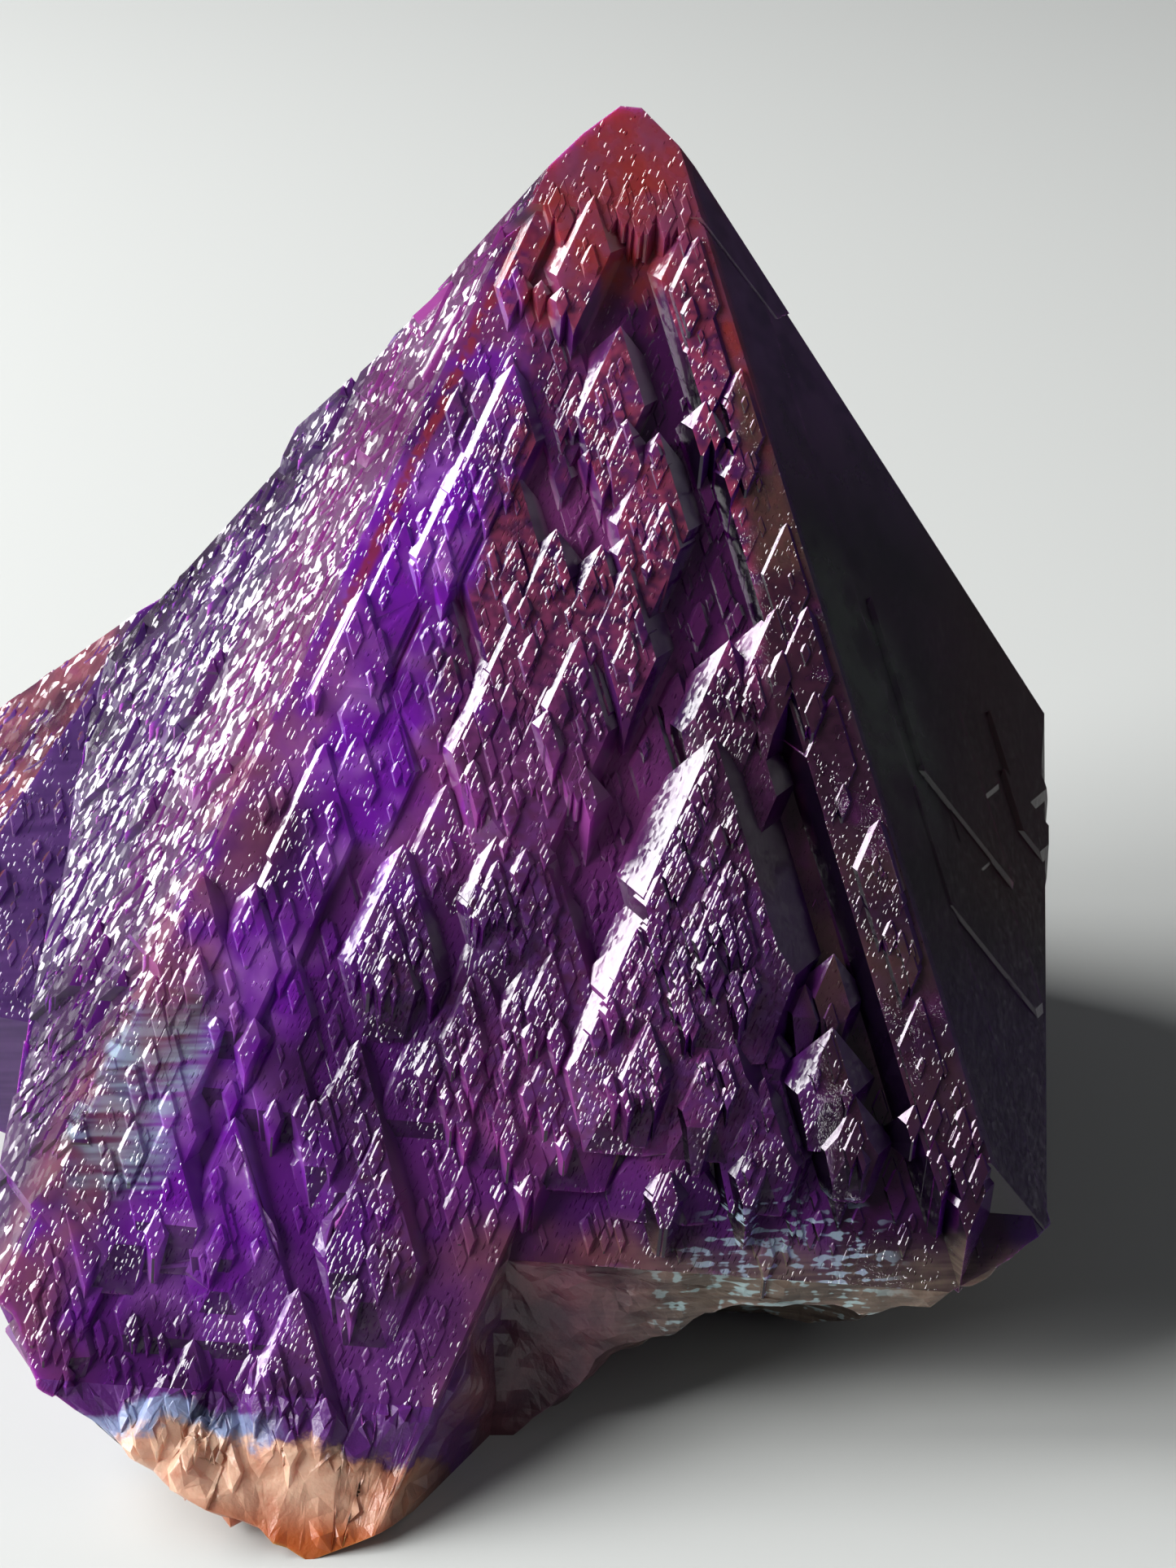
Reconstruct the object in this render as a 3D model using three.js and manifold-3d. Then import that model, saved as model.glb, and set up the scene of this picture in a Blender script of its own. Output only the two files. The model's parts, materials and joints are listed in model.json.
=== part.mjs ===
// An elestial amethyst: one quartz point, grown as a stack of smaller points that all lie parallel to it,
// with a second point beside it on the left and a broken root underneath.
// Millimetres, +Z up, +X to the right and -Y to the front. The long axis of the point is nearly upright.
// Every crystal here is one block cut by the same set of face directions, so all like faces are parallel.
import * as THREE from "three";
import { ConvexGeometry } from "three/addons/geometries/ConvexGeometry.js";
import { mergeVertices } from "three/addons/utils/BufferGeometryUtils.js";
import Module from "manifold-3d";

const wasm = await Module();
wasm.setup();

// ---- Driving dimensions ----
const POINT_HEIGHT = 62; // from the resting face to the tip
const AXIS_LEAN = 5; // degrees that the long axis leans to the right
const SECOND_LEAN = 12; // degrees that the second point's axis leans to the right
const FACE_ANGLE = 38.2; // degrees between a pyramid face and the long axis, as in all quartz
const AZIMUTHS = [0, 60, 120, 180, 240, 300]; // front, right, back right, back, back left, left
const FRONT = 0;
const RIGHT = 1;
const BACK_RIGHT = 2;
const BACK = 3;
const BACK_LEFT = 4;
const LEFT = 5;
const BURIED = 60; // an offset so large that the face never shows
const SMALLEST_EDGE = 0.06; // edges shorter than this are closed up after joining

const BLUNT_CORNERS = [-50, 50]; // how far the slopes at the lower corners of a large ledge are turned
const BLUNT_REACH = 0.68; // how far down those slopes start, as a share of the ledge's length
const END_SLOPE = 20; // how steeply a ledge runs out at its lower end, against its own face
const LEDGE_ROOT = 2.5; // how far a ledge runs on inside the stone
const FRONT_REACH = 37.8; // from the tip forward to the upright front face of the root

const tip = new THREE.Vector3(0, 0, POINT_HEIGHT);
const SECOND_TIP = new THREE.Vector3(-28, -1, 33);
const LEFT_POINT = new THREE.Vector3(-31.2, -22, 22);
const RIGHT_POINT = new THREE.Vector3(23.6, -16.7, 21.6);

// ---- Face directions ----
// The outward direction of a face: azimuth turns from the front to the right, elevation is above level.
function facing(azimuth, elevation, lean = AXIS_LEAN) {
  const turn = THREE.MathUtils.degToRad(azimuth);
  const rise = THREE.MathUtils.degToRad(elevation);
  const level = Math.cos(rise);
  const upright = new THREE.Vector3(Math.sin(turn) * level, -Math.cos(turn) * level, Math.sin(rise));
  return upright.applyAxisAngle(new THREE.Vector3(0, 1, 0), THREE.MathUtils.degToRad(lean));
}

function planeAt(normal, point, offset = 0) {
  return { normal, distance: normal.dot(point) + offset };
}

// How far the main faces stand from the tip, in the order of AZIMUTHS, and the faces grown between them.
const FACE_LEVEL = [-2.0, 1.5, 0.9, 1.0, 0.6, 1.75];
const STEEP_RIGHT = planeAt(facing(115, 33.2), tip, 1.3);
const STEEP_LEFT = planeAt(facing(-115, 32.2), tip, 0.8);
const RIGHT_FACE = planeAt(facing(60, FACE_ANGLE), tip, 1.6);
const LEFT_FACE = planeAt(facing(-60, FACE_ANGLE), tip, 1.8);
const RIGHT_SIDE = planeAt(facing(88, 0), RIGHT_POINT);
const LEFT_SIDE = planeAt(facing(-93, 0), LEFT_POINT);
const SIDE_LIMITS = [
  planeAt(RIGHT_SIDE.normal, RIGHT_POINT, 0.2),
  planeAt(LEFT_SIDE.normal, LEFT_POINT, 0.5),
];

// Smaller points on the back: x, y and z of the tip, and the offset to the upright faces.
const BACK_POINTS = [
  [8, 8, 46, 8],
  [-7, 9, 43, 7.5],
  [1, 13.5, 35, 7],
  [13, 11, 32, 8],
  [-15, 8, 33, 8],
  [-8, 16, 26, 6],
  [7, 16.5, 25, 5.5],
  [17.5, 1, 36, 6.5],
  [19, 8, 21, 5.5],
  [-20, 11, 22, 6],
  [-23, -4, 30, 7],
  [-1, 18, 17, 4.5],
];

// The broken rim of the root, anticlockwise from the front right: x, y and z of each place on the rim,
// then x and y of the place on the table below it that the break runs down to.
const ROOT = [
  [24.5, -34, 12.5, 19, -13],
  [21.3, -37.8, 11.9, 15, -19],
  [16, -39.5, 9.7, 13, -24.5],
  [10.3, -40.7, 9.0, 10, -26.5],
  [4, -40.9, 9.5, 4, -26],
  [-1.4, -42.2, 8.5, -1, -28.5],
  [-5.6, -44.8, 5.3, -5, -36],
  [-9, -47.2, 3.4, -8.5, -41.5],
  [-12.5, -48.4, 1.8, -12, -45.2],
  [-16.5, -49.4, 0.5, -16.3, -48.4],
  [-19.5, -48.6, 2.2, -18, -45.5],
  [-23.5, -47.3, 3.7, -21.5, -41],
  [-30.2, -44.4, 7.8, -25.5, -32],
  [-32.2, -41.5, 10.8, -27.5, -25],
  [-36, -30, 12, -28.5, -16],
  [-41, -18, 9, -30, -7],
  [-46, -8, 8, -31, 1],
  [-44, 8, 9, -28, 7],
  [-26, 20, 8, -18, 13],
  [-6, 24, 7, -5, 15],
  [10, 23, 8, 9, 14],
  [24, 12, 8, 18, 8],
  [28, -6, 7, 20.5, -3],
  [27, -22, 10, 20, -9],
];

// Shell-shaped hollows in the break: centre, radii and turn.
const SCOOPS = [
  { at: [-26.8, -47.6, 9.8], size: [4.6, 5, 4.2], turn: 0.3 },
  { at: [-20.7, -50.2, 6.2], size: [6, 5.4, 4.6], turn: 0.4 },
  { at: [-12.8, -50.6, 5.1], size: [5, 5, 4.4], turn: -0.3 },
  { at: [-5.2, -48, 6.4], size: [3.6, 4.2, 3.4], turn: -0.6 },
  { at: [8, -38, 0.5], size: [9, 9, 8], turn: 0.2 },
];

// Repeatable variation between two limits.
let seed = 20417;
function vary(low, high) {
  seed = (seed * 16807) % 2147483647;
  return low + (high - low) * (seed / 2147483647);
}

// ---- From planes to a solid ----
function corners(planes) {
  const found = [];
  const crossing = new THREE.Vector3();
  for (let i = 0; i < planes.length; i++)
    for (let j = i + 1; j < planes.length; j++)
      for (let k = j + 1; k < planes.length; k++) {
        const [a, b, c] = [planes[i], planes[j], planes[k]];
        const bc = new THREE.Vector3().crossVectors(b.normal, c.normal);
        const spread = a.normal.dot(bc);
        if (Math.abs(spread) < 1e-6) continue;
        crossing.copy(bc).multiplyScalar(a.distance);
        crossing.addScaledVector(new THREE.Vector3().crossVectors(c.normal, a.normal), b.distance);
        crossing.addScaledVector(new THREE.Vector3().crossVectors(a.normal, b.normal), c.distance);
        crossing.divideScalar(spread);
        const inside = planes.every((p) => p.normal.dot(crossing) <= p.distance + 1e-6);
        const fresh = found.every((f) => f.distanceToSquared(crossing) > 1e-6);
        if (inside && fresh) found.push(crossing.clone());
      }
  return found;
}

function solidOf(geometry) {
  const bare = new THREE.BufferGeometry().setAttribute("position", geometry.getAttribute("position"));
  if (geometry.index) bare.setIndex(geometry.index);
  const merged = mergeVertices(bare, 1e-4);
  return new wasm.Manifold(
    new wasm.Mesh({
      numProp: 3,
      vertProperties: new Float32Array(merged.attributes.position.array),
      triVerts: new Uint32Array(merged.index.array),
    }),
  );
}

function blockOf(planes) {
  return solidOf(new ConvexGeometry(corners(planes)));
}

// ---- One crystal ----
// top is where its pyramid faces would all meet. pyramid and prism hold six offsets each, from that
// point out to the pyramid faces and to the upright faces, in the order of AZIMUTHS.
function crystal(top, { pyramid = [0, 0, 0, 0, 0, 0], prism, foot, lean = AXIS_LEAN, extra = [] }) {
  const planes = [...extra];
  AZIMUTHS.forEach((azimuth, side) => {
    planes.push(planeAt(facing(azimuth, FACE_ANGLE, lean), top, pyramid[side]));
    planes.push(planeAt(facing(azimuth, 0, lean), top, prism[side]));
  });
  planes.push(planeAt(facing(0, -90, lean), top, foot));
  return blockOf(planes);
}

// ---- Places on a face of the main point ----
// across runs level to the right as the face is looked at, down runs down its slope from the tip,
// and out stands off the plane through the tip.
function faceAxes(side) {
  const normal = facing(AZIMUTHS[side], FACE_ANGLE);
  const axis = facing(0, 90);
  const slope = axis.clone().addScaledVector(normal, -axis.dot(normal)).normalize().negate();
  const level = new THREE.Vector3().crossVectors(normal, slope);
  return { level, slope, normal };
}

function onFace(side, across, down, out) {
  const { level, slope, normal } = faceAxes(side);
  return tip
    .clone()
    .addScaledVector(level, across)
    .addScaledVector(slope, down)
    .addScaledVector(normal, out);
}

// The slope in which a ledge runs out. turn is how far it is turned from straight down its face, and
// reach is how far below the top it starts.
function runOut(side, top, turn, reach) {
  const { level, slope, normal } = faceAxes(side);
  const across = THREE.MathUtils.degToRad(turn);
  const steep = THREE.MathUtils.degToRad(END_SLOPE);
  const way = slope.multiplyScalar(Math.cos(across)).addScaledVector(level, Math.sin(across));
  const outward = normal.multiplyScalar(Math.cos(steep)).addScaledVector(way, Math.sin(steep));
  return planeAt(outward, top, reach * Math.sin(steep));
}

// A small crystal that stands out of a face, shaped like a shield: pointed above, then two straight
// sides, then a gentle slope at its end. left and right are its offsets to the upright side faces.
function ledge(side, [across, down, out, left, right, long], corners = []) {
  const top = onFace(side, across, down, out);
  const deep = Math.max(left, right, long);
  const prism = Array(6).fill(deep);
  prism[(side + 1) % 6] = right;
  prism[(side + 5) % 6] = left;
  const end = runOut(side, top, 0, long);
  const blunt = corners.map((turn) => runOut(side, top, turn, BLUNT_REACH * long));
  const foot = long * Math.cos(THREE.MathUtils.degToRad(FACE_ANGLE)) + LEDGE_ROOT;
  return crystal(top, { prism, foot, extra: [end, ...blunt, ...SIDE_LIMITS] });
}

// ---- The large crystals ----
function core() {
  return crystal(tip, {
    pyramid: FACE_LEVEL,
    prism: [FRONT_REACH, BURIED, 22.5, 15, 22, BURIED],
    foot: POINT_HEIGHT + 8,
    extra: [STEEP_RIGHT, STEEP_LEFT, RIGHT_SIDE, LEFT_SIDE],
  });
}

// The solid cap of the point, above the grooved part of the front.
function cap() {
  const proud = 0.12;
  return crystal(tip, {
    pyramid: [-0.1, 1.5 + proud, 0.9, 0.5, 0.6, 1.75 + proud],
    prism: [3.5, BURIED, BURIED, BURIED, BURIED, BURIED],
    foot: 10,
    extra: [planeAt(STEEP_RIGHT.normal, tip, 1.3 + proud), planeAt(STEEP_LEFT.normal, tip, 0.8 + proud)],
  });
}

// Long flat bands that follow the two edges of the front face.
function leftBand() {
  return crystal(onFace(FRONT, -3.4, 5, -0.8), {
    pyramid: [0, 0, 0, 0, 0, 2.2],
    prism: [BURIED, 2.6, 4, 4, 4, BURIED],
    foot: POINT_HEIGHT,
    extra: [planeAt(LEFT_SIDE.normal, LEFT_POINT), LEFT_FACE],
  });
}

function rightBand() {
  return crystal(onFace(FRONT, 4.0, 5.6, -0.15), {
    pyramid: [0, 1.2, 0, 0, 0, 0],
    prism: [31.8, BURIED, 4, 4, 4, 2.5],
    foot: POINT_HEIGHT,
    extra: [RIGHT_FACE],
  });
}

// The lower left of the front reaches further forward than the rest.
function forefoot() {
  return crystal(tip, {
    pyramid: [-1.2, 1.4, 0, 0, 0, 1.85],
    prism: [BURIED, 17.2, 20, 5, 20, BURIED],
    foot: POINT_HEIGHT + 8,
    extra: [STEEP_RIGHT, STEEP_LEFT, planeAt(LEFT_SIDE.normal, LEFT_POINT, 0.25)],
  });
}

function secondPoint() {
  return crystal(SECOND_TIP, {
    pyramid: [0, 0.4, 0.8, 0.5, 0, 0.3],
    prism: [16, 16, 14, 9, 10.5, 12.5],
    foot: 45,
    lean: SECOND_LEAN,
  });
}

function backPoint([x, y, z, wide]) {
  return crystal(new THREE.Vector3(x, y, z), {
    prism: [BURIED / 2, 1.1 * wide, wide, 0.85 * wide, 1.15 * wide, 0.9 * wide],
    foot: z + 8,
    extra: SIDE_LIMITS,
  });
}

// ---- Ledges ----
// The right and left edges of the front face, at a given distance down it.
const rightEdge = (down) => 2.3 + 0.357 * down;
const leftEdge = (down) => -2.55 - 0.357 * down;

const SHIELDS = [
  // across, down, out, left, right, long
  [-1.5, 5.2, 0.2, 3.0, 2.0, 8],
  [-4.0, 4.4, -0.35, 4.0, 1.1, 14],
  [0.5, 12.5, -0.2, 3.4, 2.8, 10],
  [-2.3, 12, -0.8, 3.0, 3.2, 9],
  [3.0, 18.5, -0.1, 3.4, 3.4, 12],
  [-4.5, 21.5, -0.3, 4.0, 3.4, 12],
  [-6.7, 19, -0.6, 3.2, 3.0, 8],
  [-2.2, 24.5, 0.0, 8, 6.2, 18],
  [0.3, 25.2, 0.1, 2.6, 2.6, 6],
  [1.8, 26.2, 0.2, 2.4, 3.2, 8],
  [-0.5, 30.5, 0.3, 3.0, 3.2, 8],
  [-8, 27.5, -0.7, 4.0, 3.4, 9],
  [-11.0, 32, -0.7, 4.4, 4.0, 10],
  [7.5, 30, 0.2, 3.4, 3.0, 6],
  [9.9, 28, 0.1, 2.6, 2.4, 7],
  [9.2, 34.4, -0.4, 2.6, 2.4, 6],
  [7, 35.5, 0.7, 5.6, 8.0, 15],
  [5, 43, 0.5, 4.4, 5.4, 9],
  [3.2, 47, 0.4, 4.4, 5.4, 8.5],
  [7.6, 47.5, 0.1, 4.5, 5.0, 8],
  [-9, 42.5, -0.2, 4.2, 4.2, 8],
  [-7, 39, -0.6, 3.4, 3.2, 6],
  [-3, 38.5, -0.1, 4.4, 4.2, 9],
  [-0.5, 44, -0.4, 4.6, 5.0, 11],
  [-4.8, 47, -0.6, 5.0, 5.0, 9],
  [-19.4, 44.8, 0.0, 3.2, 2.4, 8],
  [-15.5, 45, -0.8, 5.4, 5.4, 12],
  [-21.3, 50.5, 0.0, 8, 5.1, 14],
  [-16.5, 57.5, -0.5, 4.0, 4.6, 9],
  [-10.5, 53, -0.6, 4.4, 4.6, 8],
  [-9, 57.5, -0.4, 4.0, 4.4, 9],
  [-2.5, 51.5, -0.6, 3.6, 4.0, 6],
  [0.8, 52.0, -0.4, 3.2, 3.8, 5.5],
  [10.8, 53.4, -0.4, 3.0, 3.0, 4.6],
  [14.2, 50.5, -0.1, 2.4, 2.2, 4],
  [15.6, 54.0, -0.3, 2.0, 2.0, 3],
  [6.0, 54.0, -0.8, 4.0, 4.0, 4.8],
  [-12.5, 66, -0.6, 4.0, 4.6, 8],
];

// Broad low plates that carry the shields.
const PLATES = [
  [-6, 30, -1.0, 9, 8, 20],
  [3.5, 38, -1.2, 8, 8, 17],
  [-14, 38, -1.0, 8, 8, 18],
  [8, 43, -1.1, 9, 9, 14],
  [-6, 48, -0.9, 8, 8, 9],
  [-17, 55, -0.9, 8, 8, 14],
];

// Crystals that stand out of the left face and make its outline.
const FLANKS = [
  [-2.6, 20, 1.8, 1.2, 4, 12],
  [-3.6, 33.0, 1.8, 1.4, 5, 12],
  [-3.8, 43.5, 2.0, 1.6, 6, 8],
  [5.0, 50.8, 2.1, 2, 5, 9],
  [8.0, 55.4, 2.2, 1.6, 5, 9],
  [10.4, 60.0, 2.3, 1.6, 4, 8],
];

// Steps on the right face, which is smoother than the others.
const RIGHT_STEPS = [
  [3.4, 15.5, -0.1, 5.0, 1.4, 9],
  [4.4, 24.0, 0.1, 5.6, 1.6, 9],
  [5.4, 34.2, 0.5, 5.0, 1.5, 7],
  [4.4, 38.0, 0.8, 6.4, 3, 14],
  [-3.5, 30, 1.75, 6.0, 5.0, 20],
  [-8.5, 40, 1.7, 4.0, 5.5, 14],
];

function rimLedges() {
  const rims = [];
  for (let down = 7; down < 49; down += vary(3.5, 7)) {
    const place = rightEdge(down) - vary(0.1, 1.2);
    rims.push(ledge(FRONT, [place, down, vary(-0.1, 0.3), vary(1.2, 2.3), 2.4, vary(3, 9)]));
  }
  for (let down = 9; down < 58; down += vary(2, 4.5)) {
    const place = leftEdge(down) + vary(0.2, 3);
    rims.push(ledge(FRONT, [place, down, vary(-0.8, -0.1), 4, vary(1.6, 3.6), vary(5, 13)]));
  }
  return rims;
}

// A smaller ledge that rides on a shield.
function rider([across, down, out, left, right, long]) {
  const wide = Math.min(left, right) * vary(0.35, 0.55);
  const place = across + vary(-0.35, 0.3) * Math.min(left, right);
  const lower = down + vary(0.3, 0.6) * long;
  return ledge(FRONT, [place, lower, out + vary(0.12, 0.3), wide, wide * vary(0.8, 1.3), wide * 2]);
}

// Small ledges strewn over a face, between its two edges and two distances down it. surface gives how
// far the stone stands off the plane through the tip there, where that isn't level.
function strewn(side, count, [from, to], edges, rise, size, surface = () => 0) {
  const small = [];
  for (let i = 0; i < count; i++) {
    const down = from + (to - from) * Math.sqrt(vary(0, 1));
    const [low, high] = edges(down);
    const across = vary(low, high);
    const out = surface(across, down) + vary(...rise);
    const wide = vary(...size);
    small.push(ledge(side, [across, down, out, wide, wide * vary(0.7, 1.3), wide * vary(1.6, 2.6)]));
  }
  return small;
}

const frontEdges = (down) => [leftEdge(down) + 1.5, rightEdge(down) - 4];
const leftFaceEdges = (down) => [Math.max(-0.16 * down, (down - 48) * 0.95), 0.357 * down - 3.4];
const rightFaceEdges = (down) => [4.5 - 0.357 * down, 0.12 * down];
const backEdges = (down) => [-0.25 * down, 0.25 * down];
const steepRight = (across, down) => 1.3 + 0.073 * across - 0.087 * down;
const steepLeft = (across, down) => 0.8 - 0.073 * across - 0.105 * down;

const solids = [
  core(),
  cap(),
  leftBand(),
  rightBand(),
  forefoot(),
  secondPoint(),
  ...BACK_POINTS.map(backPoint),
  ...PLATES.map((sizes) => ledge(FRONT, sizes)),
  ...SHIELDS.map((sizes) => ledge(FRONT, sizes, BLUNT_CORNERS)),
  ...SHIELDS.filter(([, , , , , long]) => long > 6).map(rider),
  ...FLANKS.map((sizes) => ledge(LEFT, sizes)),
  ...RIGHT_STEPS.map((sizes) => ledge(RIGHT, sizes)),
  ...rimLedges(),
  ...strewn(FRONT, 40, [14, 57], frontEdges, [-1.2, -0.3], [0.9, 2.0]),
  ...strewn(FRONT, 10, [57, 73], () => [-24, -10], [-1.1, -0.7], [1.2, 2.4]),
  ...strewn(LEFT, 34, [11, 62], leftFaceEdges, [1.9, 2.3], [1.2, 2.6]),
  ...strewn(RIGHT, 10, [24, 60], rightFaceEdges, [1.55, 1.75], [2, 4]),
  ...strewn(BACK, 7, [8, 22], backEdges, [1.1, 1.5], [1.5, 3]),
  ...strewn(BACK_RIGHT, 7, [8, 30], backEdges, [0.1, 0.5], [1.5, 3], steepRight),
  ...strewn(BACK_LEFT, 7, [8, 30], backEdges, [0.1, 0.5], [1.5, 3], steepLeft),
];

let stone = solids.reduce((joined, next) => joined.add(next)).simplify(SMALLEST_EDGE);

// ---- The broken root ----
// The stone is kept inside a funnel: its mouth is wider than the stone, and it narrows along the break
// down to the flat that the stone rests on.
function funnel() {
  const rings = [
    ROOT.map(([, , , x, y]) => [x, y, 0]),
    ROOT.map(([x, y, z, footX, footY]) => [(x + footX) / 2, (y + footY) / 2, z * vary(0.42, 0.58)]),
    ROOT.map(([x, y, z]) => [x, y, z]),
    ROOT.map(([x, y, z, footX, footY]) => [2 * x - footX, 2 * y - footY, 2 * z]),
    ROOT.map(([x, y, , footX, footY]) => [2 * x - footX, 2 * y - footY, 100]),
  ];
  const count = ROOT.length;
  const faces = [];
  for (let level = 0; level + 1 < rings.length; level++)
    for (let i = 0; i < count; i++) {
      const next = (i + 1) % count;
      const [a, b] = [level * count + i, level * count + next];
      faces.push(a, a + count, b, b, a + count, b + count);
    }
  const flat = (ring) => ring.map(([x, y]) => new THREE.Vector2(x, y));
  const top = (rings.length - 1) * count;
  THREE.ShapeUtils.triangulateShape(flat(rings[0]), []).forEach(([a, b, c]) => faces.push(c, b, a));
  THREE.ShapeUtils.triangulateShape(flat(rings[4]), []).forEach(([a, b, c]) =>
    faces.push(top + a, top + b, top + c),
  );
  const form = new THREE.BufferGeometry();
  form.setAttribute("position", new THREE.Float32BufferAttribute(rings.flat(2), 3));
  form.setIndex(faces);
  return solidOf(form);
}

function scoop([x, y, z], [wide, deep, high], turn) {
  const ball = new THREE.IcosahedronGeometry(1, 2).scale(wide, deep, high);
  return solidOf(ball.rotateZ(turn).translate(x, y, z));
}

stone = stone.intersect(funnel());
SCOOPS.forEach(({ at, size, turn }) => {
  stone = stone.subtract(scoop(at, size, turn));
});

const joined = stone.getMesh();
const geometry = new THREE.BufferGeometry();
geometry.setAttribute("position", new THREE.BufferAttribute(joined.vertProperties, 3));
geometry.setIndex(new THREE.BufferAttribute(joined.triVerts, 1));
geometry.computeBoundingBox();
const middle = geometry.boundingBox.getCenter(new THREE.Vector3());
geometry.translate(-middle.x, -middle.y, 0);
geometry.computeVertexNormals();

const amethyst = new THREE.MeshStandardMaterial({ color: 0x4b2178, roughness: 0.25, metalness: 0 });
const mesh = new THREE.Mesh(geometry, amethyst);
mesh.name = "elestial_amethyst";
const group = new THREE.Group();
group.add(mesh);

export default group;
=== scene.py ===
# %% [markdown]
# # An elestial amethyst
# The real object is one large quartz point that grew as a stack of smaller points, all turned the same
# way, so that every face on the left flashes at the same moment. The stone below is already modelled
# with its large ledges. This lesson adds the fine growth, the stains and the broken root, and lights it.

# %% Load the stone
import json
import math
import random

import bpy
from mathutils import Matrix, Vector
from mathutils.bvhtree import BVHTree

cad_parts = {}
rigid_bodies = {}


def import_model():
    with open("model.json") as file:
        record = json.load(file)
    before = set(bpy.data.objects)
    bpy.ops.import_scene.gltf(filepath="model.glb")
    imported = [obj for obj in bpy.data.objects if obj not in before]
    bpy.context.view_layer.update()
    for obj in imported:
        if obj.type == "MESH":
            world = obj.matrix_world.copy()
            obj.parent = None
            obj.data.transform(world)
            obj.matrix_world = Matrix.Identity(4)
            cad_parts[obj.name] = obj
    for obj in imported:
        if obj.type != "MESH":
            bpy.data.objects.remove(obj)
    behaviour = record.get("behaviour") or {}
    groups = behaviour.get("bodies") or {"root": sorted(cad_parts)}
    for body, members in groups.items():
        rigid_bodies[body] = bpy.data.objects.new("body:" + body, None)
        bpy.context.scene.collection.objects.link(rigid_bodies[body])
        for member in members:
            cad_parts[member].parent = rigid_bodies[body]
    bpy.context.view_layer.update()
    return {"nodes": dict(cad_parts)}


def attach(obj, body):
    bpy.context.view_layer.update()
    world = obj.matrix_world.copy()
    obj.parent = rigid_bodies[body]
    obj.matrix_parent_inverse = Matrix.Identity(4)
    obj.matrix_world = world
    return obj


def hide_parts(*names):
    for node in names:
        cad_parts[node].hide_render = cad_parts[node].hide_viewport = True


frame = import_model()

plain_stone = frame["nodes"]["elestial_amethyst"]
bpy.ops.object.select_all(action="DESELECT")

# %% [markdown]
# ## Camera and floor
# The stone is looked at from a little above, with a long lens, which keeps its edges straight. The camera
# could come last, but everything that follows is judged through it, so it comes first. The floor is one
# large pale sheet: it catches the shadow and, being wide, also fills the whole background from here.

# %% Camera and floor
MM = 0.001
CAMERA_TILT = 25  # degrees below level
FLOOR_SIZE = 6  # metres

bpy.ops.object.camera_add(location=(8.89 * MM, -167.91 * MM, 105.16 * MM))
camera = bpy.context.object
camera.rotation_euler = (math.radians(90 - CAMERA_TILT), 0, 0)
camera.data.lens = 75
camera.data.sensor_width = 36
camera.data.clip_start = 0.01
bpy.context.scene.camera = camera

bpy.ops.mesh.primitive_plane_add(size=FLOOR_SIZE, location=(0, 0, 0))
floor = bpy.context.object
floor.name = "floor"
print("camera", [round(v, 4) for v in camera.location])

# %% [markdown]
# ## The ways a quartz face can look
# Quartz always has the same angles, so a face is named by the way it points: an azimuth, counted from the
# front to the right, and a height above level. All the points of this stone lean a little to the right,
# and the companion at its side leans more. The directions could be typed in as numbers, but a name such
# as "azimuth 60, height 38" is easier to check, so these few lines turn such a name into a direction.
# Each big face also has its own axes: across it, down it and out of it.

# %% Face directions
FACE_ANGLE = 38.2  # degrees between a pyramid face and the long axis
LEAN = 5  # degrees to the right
COMPANION_LEAN = 12
TIP = Vector((11.05, 13.19, 62.0)) * MM
COMPANION_TIP = Vector((-16.95, 12.19, 33.0)) * MM


def facing(azimuth, height, lean=LEAN):
    turn, rise = math.radians(azimuth), math.radians(height)
    flat = math.cos(rise)
    way = Vector((math.sin(turn) * flat, -math.cos(turn) * flat, math.sin(rise)))
    way.rotate(Matrix.Rotation(math.radians(lean), 3, "Y"))
    return way


def face_axes(azimuth, lean=LEAN):
    """Across (level, to the right), down the slope, and out of a pyramid face."""
    out = facing(azimuth, FACE_ANGLE, lean)
    axis = facing(0, 90, lean)
    down = -(axis - out * axis.dot(out)).normalized()
    return out.cross(down), down, out


print("front face looks along", [round(v, 3) for v in facing(0, FACE_ANGLE)])

# %% [markdown]
# ## The small crystals
# The faces of the real stone are covered with small shield-shaped crystals. Each could be drawn corner by
# corner, but it is easier to work as a stone cutter does: a block is cut by flat planes, six slanting
# ones for the point, six upright ones for the sides and one to end it below. The side that lies on the
# big face is left longer, so that the crystal becomes a shield. Only size and place change afterwards, so
# every copy stays parallel to the big point, and that is what makes them flash together.

# %% Cut one small crystal
BLOCK = 12  # the uncut block; a small crystal is about 1 wide
BEHIND = 0.8  # how far it goes on below its longest side


def cut_crystal(name, azimuth, left, right, length, lean=LEAN):
    bpy.ops.mesh.primitive_cube_add(size=BLOCK)
    crystal = bpy.context.object
    crystal.name = name
    bpy.ops.object.mode_set(mode="EDIT")
    deep = max(left, right, length)
    sides = {azimuth: length * math.sin(math.radians(FACE_ANGLE))}
    sides[(azimuth + 60) % 360] = right
    sides[(azimuth - 60) % 360] = left
    cuts = [(facing(0, -90, lean), length + BEHIND)]
    for turn in range(0, 360, 60):
        cuts.append((facing(turn, FACE_ANGLE, lean), 0))
        cuts.append((facing(turn, 0, lean), sides.get(turn, deep)))
    for way, distance in cuts:
        bpy.ops.mesh.select_all(action="SELECT")
        bpy.ops.mesh.bisect(plane_co=way * distance, plane_no=way, clear_outer=True, use_fill=True)
    bpy.ops.object.mode_set(mode="OBJECT")
    return crystal


# %% Five shields for each side
# Distances from the tip to the left side, to the right side and to the end, for a size of 1.
SHIELDS = [(0.5, 0.6, 3.2), (0.8, 0.5, 2.6), (0.4, 0.9, 3.0), (0.7, 0.7, 2.1), (0.4, 0.45, 4.2)]
SIDES = {"front": 0, "right": 60, "back_right": 120, "back": 180, "back_left": 240, "left": 300}


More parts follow.
